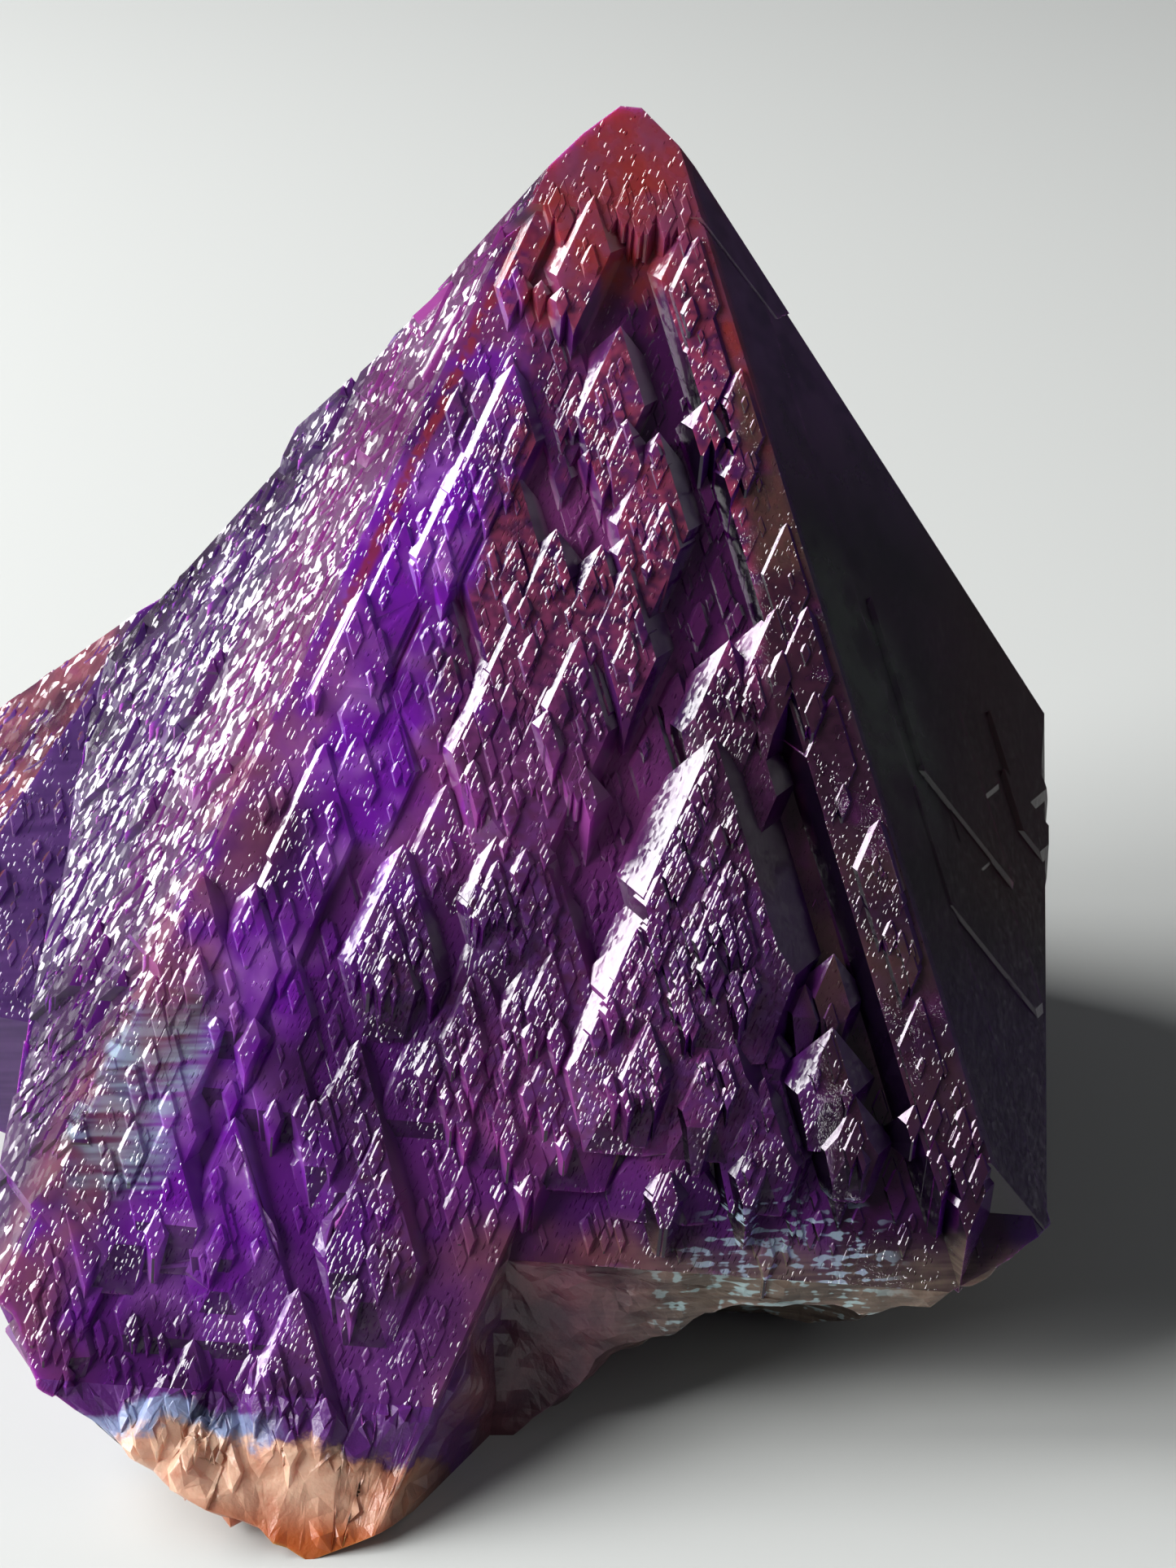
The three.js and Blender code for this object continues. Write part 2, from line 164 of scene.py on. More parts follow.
def cut_shields(side, start="", lean=LEAN):
    name = start + side
    return [
        (cut_crystal(f"{name}_{i}", SIDES[side], left, right, length, lean), length)
        for i, (left, right, length) in enumerate(SHIELDS)
    ]


shapes = {side: cut_shields(side) for side in SIDES if side != "right"}
companion_shapes = {
    side: cut_shields(side, "companion_", COMPANION_LEAN) for side in ("front", "left", "back_left")
}
print("one small crystal has", len(shapes["front"][0][0].data.polygons), "faces")

# %% [markdown]
# ## A copy to grow on
# The modelled stone is loose triangles, and it must stay as it is. Growth needs one closed skin, so a
# copy is merged and takes its place. A search tree over that skin then tells where a straight line from
# outside first meets it, which is much quicker than testing every face in turn.

# %% Copy the stone and merge it
SAME_CORNER = 0.002 * MM  # corners closer than this are one corner


def pick(piece):
    """Select this object alone, so that the next operator acts on nothing else."""
    bpy.ops.object.select_all(action="DESELECT")
    bpy.context.view_layer.objects.active = piece
    piece.select_set(True)


stone = plain_stone.copy()
stone.data = plain_stone.data.copy()
stone.name = "grown_amethyst"
bpy.context.scene.collection.objects.link(stone)
pick(stone)
bpy.ops.object.mode_set(mode="EDIT")
bpy.ops.mesh.select_all(action="SELECT")
bpy.ops.mesh.remove_doubles(threshold=SAME_CORNER)
bpy.ops.object.mode_set(mode="OBJECT")
skin = BVHTree.FromObject(stone, bpy.context.evaluated_depsgraph_get())
print("merged to", len(stone.data.vertices), "corners")

# %% [markdown]
# ## Sow the small crystals
# On the real stone the small crystals crowd each other without any pattern, and small ones are far more
# common than large ones. They could be placed by hand or by a particle system. A short loop is used here,
# because it can ask questions before it plants: a place is picked by its distance across and down the
# face, a line is dropped on it from outside, and a crystal is set there only if the line met a face that
# looks the same way and goes on under the crystal's lower end. Where the real face is clear and glassy,
# most of them are left out again.

# %% Bare and carrying places
BARE = [(-12, 36, 4, 10), (-15, 50, 5, 9), (-17, 63, 8, 7), (-7, 68, 8, 6)]  # across, down, half sizes
BARE_SHARE = 0.65  # of the seedlings in a bare place, this share is left out
NEAR_ABOVE = 2.5 * MM  # where the search for ground under a seedling's end begins
NEAR_REACH = 4 * MM
MUCH_ALIKE = 0.9  # the least likeness between the ways that the ground and the seedling face


def is_bare(right, far):
    return any(((right - x) / wide) ** 2 + ((far - y) / long) ** 2 < 1 for x, y, wide, long in BARE)


def carried(spot, out):
    """True where the stone's skin goes on under this spot, looking the same way."""
    place, normal, _, _ = skin.ray_cast(spot + out * NEAR_ABOVE, -out, NEAR_REACH)
    return place is not None and normal.dot(out) > MUCH_ALIKE


print("the middle of the face is bare:", is_bare(0, 40))

# %% Sow one face
chance = random.Random(1847)
seedlings = bpy.data.collections.new("seedlings")
bpy.context.scene.collection.children.link(seedlings)
FLOOR_GAP = 0.1 * MM  # no seedling comes nearer to the floor
FAR_ABOVE = 20 * MM  # the line is dropped from here, well outside the stone
FAR_REACH = 45 * MM
ON_THE_FACE = 0.995  # the same likeness, where the seedling itself stands
FOOT_HALF = 0.6  # the ground is tried this share of the width to either side of the lower end
SMALL_RISE = 1.4  # a small seedling rises in units of this many of its widths, not in millimetres


def has_foot(place, slope, level, out, wide, length):
    foot = place + slope * wide * length
    beside = level * wide * FOOT_HALF
    return all(carried(point, out) for point in (foot, foot + beside, foot - beside))


def plant(form, seat):
    seedling = form.copy()
    seedling.data = form.data.copy()
    seedling.data.transform(seat)
    seedlings.objects.link(seedling)


def sow(forms, azimuth, top, count, across, down, size, proud, lean=LEAN, whole_foot=True):
    """Try count places and return how many of them were planted.

    across gives the span at a distance down the face. down, size and proud, which is how far a crystal
    stands out, are ranges in mm. The root of a random number fills the widening face evenly, and the
    square of one makes small sizes common.
    """
    level, slope, out = face_axes(azimuth, lean)
    planted = 0
    for _ in range(count):
        far = down[0] + (down[1] - down[0]) * math.sqrt(chance.random())
        right = chance.uniform(*across(far))
        spot = top + (level * right + slope * far) * MM
        wide = (size[0] + (size[1] - size[0]) * chance.random() ** 2) * MM
        form, length = chance.choice(forms)
        rise = chance.uniform(*proud) * min(MM, wide * SMALL_RISE)
        place, normal, _, _ = skin.ray_cast(spot + out * FAR_ABOVE, -out, FAR_REACH)
        if place is None or normal.dot(out) < ON_THE_FACE:
            continue
        if azimuth == 0 and is_bare(right, far) and chance.random() < BARE_SHARE:
            continue
        if whole_foot and not has_foot(place, slope, level, out, wide, length):
            continue
        seat = Matrix.Translation(place + out * rise) @ Matrix.Scale(wide, 4)
        if min((seat @ corner.co).z for corner in form.data.vertices) < FLOOR_GAP:
            continue
        plant(form, seat)
        planted += 1
    return planted


# %% Sow the front
SPREAD = 0.357  # a face gets this much wider on each side for each millimetre down
RIM_SPREAD = 0.19  # the inner edge of the band along the right goes out by this much


def front_span(down):
    return -2.4 - SPREAD * down, min(2.1 + SPREAD * down, 3.8 + RIM_SPREAD * down)


def rim_span(down):
    return 3.6 + RIM_SPREAD * down, 2.1 + SPREAD * down


front = shapes["front"]
print("front:", sow(front, 0, TIP, 2300, front_span, (3, 62), (0.42, 1.6), (0.05, 0.26)))
print("rim:", sow(front, 0, TIP, 200, rim_span, (12, 62), (0.4, 1.6), (0.03, 0.14)))
print("forefoot:", sow(front, 0, TIP, 700, lambda down: (-26, 0), (58, 74), (0.42, 1.4), (0.05, 0.26)))

# %% [markdown]
# Two steps of the big faces would show as ruled lines: the lower edge of the cap, and the foot of the
# band at the right. On the real stone crystals have grown over both. A few larger ones are sown there
# without asking for ground under their foot, so that they hang over the edge and break it up.

# %% Sow over the two edges
cap_edge = sow(
    front, 0, TIP, 50, lambda down: (-3.8, 3.8), (3.2, 5.5), (0.7, 1.3), (0.0, 0.1), whole_foot=False
)
rim_foot = sow(
    front, 0, TIP, 60, lambda down: (16.5, 25.5), (53.5, 57.6), (0.8, 2.0), (0.02, 0.2), whole_foot=False
)
print("cap edge:", cap_edge, "rim foot:", rim_foot)

# %% [markdown]
# The left face and the back have grown over too, the left with finer crystals than the rest. The right
# face of the real stone is smooth, so nothing is sown there.


# %% Sow the other faces
def left_span(down):
    return max(-0.2 * down, down - 50), SPREAD * down - 2.0


def back_span(down):
    return -0.3 * down - 2, 0.3 * down + 2


print("left:", sow(shapes["left"], 300, TIP, 1300, left_span, (3, 62), (0.25, 1.2), (0.05, 0.22)))
for side, low in (("back", 46), ("back_right", 50), ("back_left", 50)):
    print(side, sow(shapes[side], SIDES[side], TIP, 1500, back_span, (3, low), (0.4, 1.8), (0.08, 0.3)))
for side, forms in companion_shapes.items():
    grown = sow(
        forms, SIDES[side], COMPANION_TIP, 200, back_span, (1, 26), (0.3, 1.2), (0.05, 0.22), COMPANION_LEAN
    )
    print("companion", side, grown)

# %% [markdown]
# ## Grow them into the stone
# Crystals that have grown together are one body. The small ones could simply be left standing in the
# large one, but light would then meet walls inside the clear stone. A Boolean union joins them all in one
# step, so the skin stays closed. The patterns that the seedlings were copied from are then removed.

# %% Join stone and seedlings
pick(stone)
growth = stone.modifiers.new("growth", "BOOLEAN")
growth.operation = "UNION"
growth.solver = "MANIFOLD"
growth.operand_type = "COLLECTION"
growth.collection = seedlings
bpy.ops.object.modifier_apply(modifier="growth")
patterns = [form for forms in (*shapes.values(), *companion_shapes.values()) for form, _ in forms]
for old in list(seedlings.objects) + patterns:
    bpy.data.objects.remove(old)
bpy.data.collections.remove(seedlings)
bpy.ops.object.mode_set(mode="EDIT")
bpy.ops.mesh.select_all(action="SELECT")
bpy.ops.mesh.quads_convert_to_tris()
bpy.ops.object.mode_set(mode="OBJECT")
print("grown stone:", len(stone.data.polygons), "triangles")

# %% [markdown]
# ## Tools for painting with nodes
# On the real stone colour, shine and fine relief change from place to place. In Blender they could be
# painted by hand on an image, or worked out by a network of nodes. Nodes are used here, because they stay
# sharp at any distance and need no file. Most helpers below add one node, fill its inputs and hand back
# its result, so that the later cells read like recipes. Noise scales count blobs to the metre.

# %% Colours
def tint(code):
    """A colour as a painter writes it, turned into the linear light that the shader works in."""
    parts = [int(code[i : i + 2], 16) / 255 for i in (1, 3, 5)]
    return tuple(p / 12.92 if p <= 0.04045 else ((p + 0.055) / 1.055) ** 2.4 for p in parts) + (1,)


print("deep violet in linear light", [round(v, 3) for v in tint("#4a1a9a")])


# %% One node at a time
def fill(tree, node, values):
    for name, value in values.items():
        if isinstance(value, bpy.types.NodeSocket):
            tree.links.new(value, node.inputs[name])
        else:
            node.inputs[name].default_value = value


def put(tree, kind, values=None, **settings):
    node = tree.nodes.new("ShaderNode" + kind)
    for name, value in settings.items():
        setattr(node, name, value)
    fill(tree, node, values or {})
    return node


def calc(tree, operation, first, second=0.0, third=0.0):
    return put(tree, "Math", {0: first, 1: second, 2: third}, operation=operation).outputs[0]


def aim(tree, operation, first, second=(0, 0, 0), output="Vector"):
    return put(tree, "VectorMath", {0: first, 1: second}, operation=operation).outputs[output]


def stretch(tree, vector, scale):
    return put(tree, "VectorMath", {0: vector, "Scale": scale}, operation="SCALE").outputs[0]


def noise(tree, position, scale, detail, roughness=0.6):
    values = {"Vector": position, "Scale": scale, "Detail": detail, "Roughness": roughness}
    return put(tree, "TexNoise", values).outputs[0]


print("noise, vectors and sums are ready")


# %% Steps and blends
def step(tree, value, low, high):
    """A soft step from 0 at low to 1 at high; it also runs backwards."""
    ends = {"Value": value, "From Min": low, "From Max": high}
    return put(tree, "MapRange", ends, interpolation_type="SMOOTHSTEP").outputs["Result"]


def blend(tree, share, first, second):
    return put(tree, "Mix", {0: share, 6: first, 7: second}, data_type="RGBA").outputs[2]


def choose(tree, share, first, second):
    return put(tree, "Mix", {0: share, 4: first, 5: second}, data_type="VECTOR").outputs[1]


print("a step from 2 to 1 falls, a step from 1 to 2 rises")


# %% Groups of nodes
def start_group(name, inputs, outputs):
    tree = bpy.data.node_groups.new(name, "ShaderNodeTree")
    for label, kind in inputs.items():
        tree.interface.new_socket(label, in_out="INPUT", socket_type="NodeSocket" + kind)
    for label, kind in outputs.items():
        tree.interface.new_socket(label, in_out="OUTPUT", socket_type="NodeSocket" + kind)
    return tree, tree.nodes.new("NodeGroupInput").outputs, tree.nodes.new("NodeGroupOutput").inputs


def use_group(tree, group, values):
    node = tree.nodes.new("ShaderNodeGroup")
    node.node_tree = group
    fill(tree, node, values)
    return node.outputs


print("groups so far:", len(bpy.data.node_groups))

# %% [markdown]
# ## Where on the stone
# The stains of the real stone keep to certain parts: the tip, an edge, the foot. They could be placed by
# extra coordinates on the mesh, but all of them follow the big front face. So one small group turns any
# point into millimetres across that face, down it from the tip, and out of it. A second group makes a
# soft patch with a ragged border at such a place.

# %% Group for a place on the front face
face_place, given, result = start_group(
    "face_place", {"Position": "Vector"}, {"Across": "Float", "Down": "Float", "Standing": "Float"}
)
offset = aim(face_place, "SUBTRACT", given["Position"], tuple(TIP))
for label, axis in zip(("Across", "Down", "Standing"), face_axes(0)):
    along = aim(face_place, "DOT_PRODUCT", offset, tuple(axis), "Value")
    face_place.links.new(calc(face_place, "DIVIDE", along, MM), result[label])
print("face_place has", len(face_place.nodes), "nodes")

# %% Group for a soft patch
PATCH_INPUTS = ["Across", "Down", "Ragged", "Middle Across", "Middle Down"]
PATCH_INPUTS += ["Half Width", "Half Length", "Slant"]
FADE_START, FADE_END = 0.7, 1.25  # a patch fades out between these shares of its half size
soft_patch, given, result = start_group("soft_patch", dict.fromkeys(PATCH_INPUTS, "Float"), {"Mask": "Float"})
down = calc(soft_patch, "SUBTRACT", given["Down"], given["Middle Down"])
across = calc(soft_patch, "SUBTRACT", given["Across"], given["Middle Across"])
across = calc(soft_patch, "SUBTRACT", across, calc(soft_patch, "MULTIPLY", down, given["Slant"]))
wide = calc(soft_patch, "POWER", calc(soft_patch, "DIVIDE", across, given["Half Width"]), 2.0)
long = calc(soft_patch, "POWER", calc(soft_patch, "DIVIDE", down, given["Half Length"]), 2.0)
reach = calc(soft_patch, "SQRT", calc(soft_patch, "ADD", wide, long))
reach = calc(soft_patch, "ADD", reach, given["Ragged"])
soft_patch.links.new(step(soft_patch, reach, FADE_END, FADE_START), result["Mask"])
print("soft_patch has", len(soft_patch.nodes), "nodes")

# %% [markdown]
# ## Glitter
# A face that looks smooth from afar is a mosaic of tiny facets, and those that happen to look at the lamp
# sparkle. Modelling each would take millions of triangles, and an ordinary noise bump gives a soft,
# worm-like shine. This group cuts space into small cells and tilts the normal of each by its own random
# direction, which gives flat facets with sharp borders. A chosen share of the cells also gets a lit edge
# on one side and a dark edge on the other, as a tiny step on the face has. Edge says where they begin,
# counted from the middle of a cell, and a value below zero lets them fill most of it.

# %% Group for facet glitter: cut space into cells
GLITTER_INPUTS = dict.fromkeys(("Position", "Normal", "Flash", "Shade"), "Vector")
GLITTER_INPUTS.update(dict.fromkeys(("Grain", "Stretch", "Tilt", "Share", "Edge"), "Float"))
facet_glitter, given, result = start_group(
    "facet_glitter", GLITTER_INPUTS, {"Normal": "Vector", "Lit Edge": "Float"}
)
STREAK_DOWN, STREAK_LEFT = 0.942, 0.336  # the cells are drawn out along the left edge of the front
level, slope, out = face_axes(0)
streak = (slope * STREAK_DOWN - level * STREAK_LEFT).normalized()
millimetres = stretch(facet_glitter, given["Position"], 1 / MM)
parts = []
for axis in (streak, out.cross(streak), out):
    along = aim(facet_glitter, "DOT_PRODUCT", millimetres, tuple(axis), "Value")
    parts.append(calc(facet_glitter, "DIVIDE", along, given["Grain"]))
parts[0] = calc(facet_glitter, "DIVIDE", parts[0], given["Stretch"])
spot = put(facet_glitter, "CombineXYZ", dict(enumerate(parts))).outputs[0]
cells = put(facet_glitter, "TexVoronoi", {"Vector": spot, "Scale": 1.0}, voronoi_dimensions="3D").outputs
print("streaks run along", [round(v, 2) for v in streak])

# %% Group for facet glitter: tilt the cells
lots = put(facet_glitter, "SeparateColor", {"Color": cells["Color"]}).outputs
chosen = calc(facet_glitter, "LESS_THAN", lots["Red"], given["Share"])
from_middle = aim(facet_glitter, "SUBTRACT", spot, cells["Position"])
inner = put(facet_glitter, "SeparateXYZ", {0: from_middle}).outputs
lit = calc(facet_glitter, "LESS_THAN", inner["Y"], calc(facet_glitter, "MULTIPLY", given["Edge"], -1.0))
lit = calc(facet_glitter, "MULTIPLY", lit, chosen)
dark = calc(facet_glitter, "GREATER_THAN", inner["Y"], calc(facet_glitter, "ABSOLUTE", given["Edge"]))
dark = calc(facet_glitter, "MULTIPLY", dark, chosen)
own_way = aim(facet_glitter, "SUBTRACT", cells["Color"], (0.5, 0.5, 0.5))  # colours run from 0 to 1
normal = choose(facet_glitter, lit, given["Normal"], given["Flash"])
normal = choose(facet_glitter, dark, normal, given["Shade"])
normal = aim(facet_glitter, "ADD", normal, stretch(facet_glitter, own_way, given["Tilt"]))
facet_glitter.links.new(aim(facet_glitter, "NORMALIZE", normal), result["Normal"])
facet_glitter.links.new(lit, result["Lit Edge"])
print("facet_glitter has", len(facet_glitter.nodes), "nodes")

# %% [markdown]
# ## Growth lines
# Quartz grows in pauses, and each pause leaves a fine level line across the sides. A wave texture would
# draw them too evenly. A noise squeezed flat gives lines of uneven strength that end and start again.

# %% Group for growth lines
SQUEEZE = (70.0, 70.0, 1000.0)  # per metre: long along the ground, short upwards
growth_lines, given, result = start_group(
    "growth_lines", {"Position": "Vector", "Spacing": "Float"}, {"Height": "Float"}
)
flat = aim(growth_lines, "MULTIPLY", given["Position"], SQUEEZE)
flat = stretch(growth_lines, flat, calc(growth_lines, "DIVIDE", 1.0, given["Spacing"]))
growth_lines.links.new(noise(growth_lines, flat, 1.0, 1.0, 0.5), result["Height"])
print("groups:", [group.name for group in bpy.data.node_groups])

# %% [markdown]
# ## The violet crystal
# The real stone is clear violet quartz with a dusting of iron on it. Light goes in, is coloured on its
# way, and comes out somewhere else. Glass alone would look empty, and paint alone would look dead, so the
# shader shares its light out: some passes straight through, some is scattered under the skin, and the
# rest shows the colour of the skin. The root of the stone is quartz as well, so both materials start
# from the same function, with the index of quartz in it.

# %% Amethyst shader
QUARTZ_INDEX = 1.544


def start_quartz(name, clear, milky, colour_depths, depth):
    """A quartz material; clear and milky are shares, and the depths say how far each colour gets inside."""
    material = bpy.data.materials.new(name)
    material.use_nodes = True
    tree = material.node_tree
    shader = tree.nodes["Principled BSDF"]
    values = {"IOR": QUARTZ_INDEX, "Transmission Weight": clear, "Subsurface Weight": milky}
    fill(tree, shader, {**values, "Subsurface Radius": colour_depths, "Subsurface Scale": depth})
    where = put(tree, "TexCoord").outputs
    place = use_group(tree, face_place, {"Position": where["Object"]})
    return material, tree, shader, where, place


amethyst, tree, shader, where, place = start_quartz(
    "amethyst_faces", clear=0.25, milky=0.4, colour_depths=(0.8, 0.25, 1.0), depth=3.5 * MM
)
absorb = put(tree, "VolumeAbsorption", {"Color": (0.6, 0.2, 0.75, 1), "Density": 100.0})  # per metre
tree.links.new(absorb.outputs[0], tree.nodes["Material Output"].inputs["Volume"])
across, down, standing = place["Across"], place["Down"], place["Standing"]
fine = noise(tree, where["Object"], 1500.0, 1.0)
broad = noise(tree, where["Object"], 300.0, 2.0)
wander = noise(tree, where["Object"], 110.0, 1.5, 0.55)
RAGGED = 0.8  # ragged runs from minus this to plus this
ragged = calc(tree, "MULTIPLY_ADD", broad, 2 * RAGGED, -RAGGED)
print("amethyst has", len(tree.nodes), "nodes")

# %% [markdown]
# A mask is a value from 0 to 1 that says how much of a stain is here. Masks can be combined like sieves:
# multiplied, both must let the stain through; the larger of two lets it through at either place. Written
# as small functions, each stain below becomes one readable line.


# %% Masks
def patch(middle, half, slant=0.0):
    values = {"Across": across, "Down": down, "Ragged": ragged, "Slant": slant}
    values["Middle Across"], values["Middle Down"] = middle
    values["Half Width"], values["Half Length"] = half
    return use_group(tree, soft_patch, values)["Mask"]


def most(*masks):
    whole = masks[0]
    for mask in masks[1:]:
        whole = calc(tree, "MAXIMUM", whole, mask)
    return whole


def times(*masks):
    whole = masks[0]
    for mask in masks[1:]:
        whole = calc(tree, "MULTIPLY", whole, mask)
    return whole


def without(mask, share=1.0):
    return calc(tree, "MULTIPLY_ADD", mask, -share, 1.0)


def grained(coarse, speck, share):
    """A coarse pattern with finer specks in it; its range grows by the share."""
    return calc(tree, "ADD", coarse, calc(tree, "MULTIPLY", speck, share))


def mottle(pattern, low, high, first, second):
    return blend(tree, step(tree, pattern, low, high), tint(first), tint(second))


def cover(under, mask, share, over):
    if isinstance(over, str):
        over = tint(over)
    return blend(tree, calc(tree, "MULTIPLY", mask, share), under, over)


def lines_every(spacing):
    """Growth lines about this many millimetres apart."""
    return use_group(tree, growth_lines, {"Position": where["Object"], "Spacing": spacing})["Height"]


print("the masks work in the material", amethyst.name)


# %% Which way a face looks
def looks(way):
    return aim(tree, "DOT_PRODUCT", where["Normal"], tuple(way), "Value")


HALF_TOP = 2.6  # mm from the middle line to either edge of the front, at the tip

facing_left = looks(facing(SIDES["left"], FACE_ANGLE))
facing_right = looks(facing(SIDES["right"], FACE_ANGLE))
on_front = step(tree, looks(facing(SIDES["front"], FACE_ANGLE)), 0.8, 0.97)
in_front = step(tree, standing, -6.0, -4.0)
arris = calc(tree, "MULTIPLY_ADD", down, SPREAD, HALF_TOP)
past_left = step(tree, calc(tree, "ADD", across, arris), 0.4, -0.6)
past_right = step(tree, calc(tree, "SUBTRACT", across, arris), -0.5, 0.5)
spot = put(tree, "SeparateXYZ", {0: where["Object"]}).outputs
past_right = calc(tree, "MULTIPLY", past_right, step(tree, spot["Y"], 15 * MM, 11 * MM))  # not on the back
print("30 mm down, each half of the front is", round(30 * SPREAD + HALF_TOP, 1), "mm wide")

# %% [markdown]
# ## Body colour and clear windows
# Under its film the stone is dark plum. In a few windows on the left of the front the film is missing
# and the clear violet shows. Its lighter lavender is painted glow, standing in for light that shines
# through the stone, and a lighter lilac near the foot is painted glow as well. The windows could be
# holes in a film of real thickness, but a film of a few thousandths of a millimetre has no shape that
# shows, so it stays a matter of colour. These colours are laid out on the front alone, so what lies
# behind it gets a plain mottled violet.

# %% Body colour
windows = most(
    patch((-10, 27), (4, 14), -0.3),
    patch((-14, 44), (6, 12), -0.25),
    patch((-18, 62), (8, 9)),
    patch((-3, 70), (8, 6)),
)
body = mottle(wander, 0.35, 0.68, "#381248", "#7a3478")
# painted glow: the lighter lavender in the windows stands in for light shining through the violet
clear_violet_and_painted_glow = mottle(broad, 0.4, 0.75, "#7016a0", "#ac6acc")
colour = blend(tree, times(windows, step(tree, wander, 0.3, 0.55)), body, clear_violet_and_painted_glow)
# painted glow: a lighter lilac near the foot stands in for light shining through the stone
lilac = times(patch((-8, 71), (7, 6)), step(tree, wander, 0.3, 0.6))
colour = cover(colour, lilac, 0.6, "#8c5494")
behind = mottle(grained(wander, broad, 0.5), 0.5, 0.95, "#24103c", "#4e2c6e")
colour = cover(colour, without(in_front), 0.85, behind)
print("windows, body and the lilac foot:", len(tree.nodes), "nodes")

# %% [markdown]
# ## Deep places
# The sunken floor between the ledges is purer in colour, because less dust reaches it. The steep walls
# of ledges are painted nearly black as painted shade, a little lighter where they look more to the
# right, and a dark channel in the sunken floor is painted shade as well. The depth below the face tells
# the floor from the ledges, and the way a face looks tells the walls.

# %% Sunken floor, walls and groove
sunken = times(step(tree, standing, -0.7, -1.1), in_front)
sunken_colour = blend(tree, step(tree, down, 34.0, 52.0), tint("#8c3c80"), tint("#54186c"))
colour = cover(colour, sunken, 0.7, sunken_colour)
# painted shade: the steep walls of the ledges, darker or lighter by the way they look
painted_shade_walls = times(without(on_front), step(tree, facing_left, 0.9, 0.8), step(tree, across, 1.0, 5.0), in_front)
colour = blend(tree, painted_shade_walls, colour, mottle(facing_right, 0.3, 0.7, "#08020e", "#3a0c54"))
# painted shade: a dark channel in the sunken floor
painted_shade_groove = times(sunken, patch((4.2, 18), (3.6, 16), 0.22))
colour = cover(colour, painted_shade_groove, 0.9, "#36043e")
print("deep places:", len(tree.nodes), "nodes")

# %% [markdown]
# ## Dust of iron
# Iron settled on the faces that looked up while the crystal grew. On this stone that is the raised part of
# the front, where it makes a maroon mottling that turns to dark violet further down. One noise alone
# looks like cloud, so a fine one breaks the edges of the coarse one.

# %% Dust on the raised front
dust = times(
    on_front,
    step(tree, standing, -1.1, -0.2),
    without(windows, 0.75),
    step(tree, grained(broad, fine, 0.5), 0.45, 0.85),
)
dusty = blend(tree, step(tree, down, 20.0, 46.0), tint("#983a52"), tint("#5a2a70"))
dusty = blend(tree, step(tree, fine, 0.7, 0.25), dusty, tint("#401430"))
colour = cover(colour, dust, 0.8, dusty)
print("dust:", len(tree.nodes), "nodes")

# %% [markdown]
# ## The rim and the rusty tip
# The band along the right edge of the front is smoky brown with level rungs, and fades to dark maroon at
# its foot. The largest shield beside it is shaded maroon too. The cap and the top of the groove are rusty
# red, and behind, only the tip is. The rungs use the growth lines at a wide spacing, since on the stone
# they are the same thing: pauses in growth.

# %% Rim and shaded shield
rim_inside = calc(tree, "MULTIPLY_ADD", down, 0.18, 3.4)  # mm from the middle line, like the arris
rim = calc(tree, "ADD", calc(tree, "SUBTRACT", across, rim_inside), ragged)
rim = times(step(tree, rim, 0.0, 1.2), on_front, step(tree, broad, 0.15, 0.45))
rungs = lines_every(5.0)
rim_colour = mottle(rungs, 0.4, 0.56, "#1e0a14", "#4a3428")
rim_colour = blend(tree, step(tree, down, 46.0, 58.0), rim_colour, tint("#22081a"))
colour = cover(colour, rim, 0.85, rim_colour)
shield_shade = patch((9, 38), (3.2, 6), 0.1)
colour = cover(colour, shield_shade, 0.6, "#2c0c22")
print("rim:", len(tree.nodes), "nodes")

# %% Rust
rust = most(patch((1.5, 2), (7, 8)), patch((-2.5, 8), (1.8, 5), -0.3), patch((7, 12), (0.9, 6), 0.3))
rust = times(rust, most(in_front, step(tree, spot["Z"], 50 * MM, 56 * MM)))
colour = cover(colour, rust, 0.9, mottle(grained(broad, fine, 0.4), 0.45, 0.9, "#94322c", "#7c3858"))
print("rust:", len(tree.nodes), "nodes")

# %% [markdown]
# ## The two sides
# The left face is full of glints over a grey sheen on violet, and the grey is painted reflection. The
# right face is turned from the light and is painted almost black as painted shade, lighter violet near
# the tip, with a grey patch in its upper part, maroon towards the back and deep purple at the foot. The
# lamps alone would not make these differences, so the colour changes where the face bends away from the
# front.

# %% Left and right sides
left_side = times(step(tree, facing_left, 0.9, 0.98), past_left)
# painted reflection: the grey sheen of the left face
colour = cover(colour, left_side, 0.7, mottle(wander, 0.35, 0.65, "#2a2028", "#4a4450"))
# painted shade: the right face, turned from the light, is made near black
shaded = mottle(wander, 0.4, 0.6, "#0e0618", "#240a28")
shaded = blend(tree, step(tree, down, 26.0, 10.0), shaded, mottle(broad, 0.3, 0.6, "#3a1e4c", "#523262"))
maroon = times(step(tree, across, 17.0, 24.0), step(tree, down, 46.0, 40.0))
shaded = blend(tree, maroon, shaded, tint("#2a0e14"))
grey_patch = times(patch((15.5, 31), (3, 8), 0.45), step(tree, broad, 0.3, 0.6))
shaded = blend(tree, grey_patch, shaded, tint("#3e4240"))
shaded = blend(tree, step(tree, down, 44.0, 50.0), shaded, tint("#24063a"))
colour = cover(colour, past_right, 0.97, shaded)
print("sides:", len(tree.nodes), "nodes")

# %% [markdown]
# ## The foot of the front
# Near the root the violet gives way to a grey and pink-brown band with fine level lines, a scatter of
# chalky dashes, a blue-white haze at the far left and pale peach below. The borders are ragged on the
# stone, so the distance down is first shaken by a noise, and only then cut.

